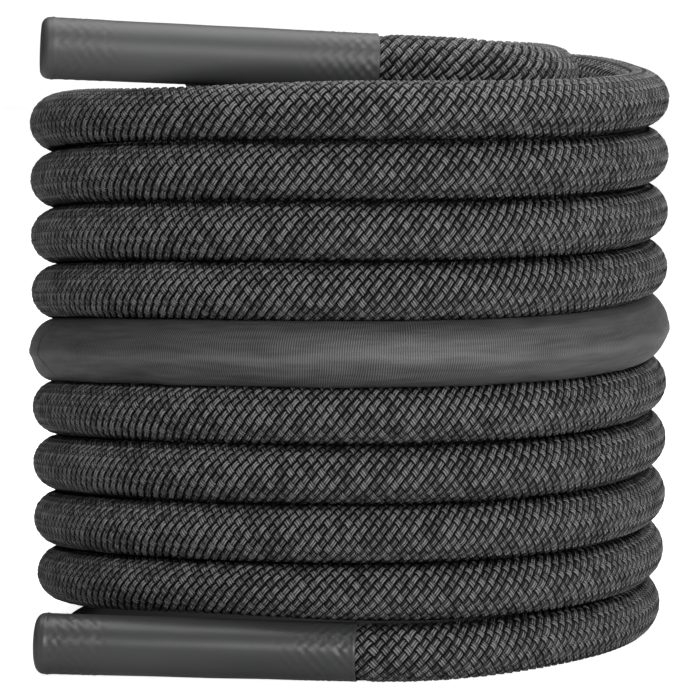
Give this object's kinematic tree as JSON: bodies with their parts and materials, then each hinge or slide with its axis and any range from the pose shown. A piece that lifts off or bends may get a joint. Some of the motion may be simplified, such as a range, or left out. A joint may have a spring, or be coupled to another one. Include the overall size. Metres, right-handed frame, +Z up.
{
  "type": "battle rope",
  "caption": "Thick black braided exercise rope wound into a standing coil, with a shrink-fitted grip boot on each end and a woven anchor sleeve round its middle.",
  "frame": {"origin": "on the floor, under the middle of the coil", "axes": "+Z up along the coil's axis; the front, where both boots lie, faces -Y"},
  "size_m": [0.4116, 0.4114, 0.3984],
  "materials": {
    "braid_black": "braided polyester, matt with a faint sheen",
    "core_grey": "undyed filler strands",
    "webbing_black": "ribbed woven nylon",
    "shrink_black": "satin heat-shrink tube",
    "tape_black": "smooth adhesive tape",
    "melted_black": "melted and hardened fibre ends"
  },
  "bodies": {
    "root": {"rope_jacket": "braid_black", "rope_core": "core_grey", "anchor_sleeve": "webbing_black", "lower_grip_boot": "shrink_black", "upper_grip_boot": "shrink_black", "lower_end_tape": "tape_black", "upper_end_tape": "tape_black", "lower_end_seal": "melted_black", "upper_end_seal": "melted_black"}
  },
  "joints": []
}
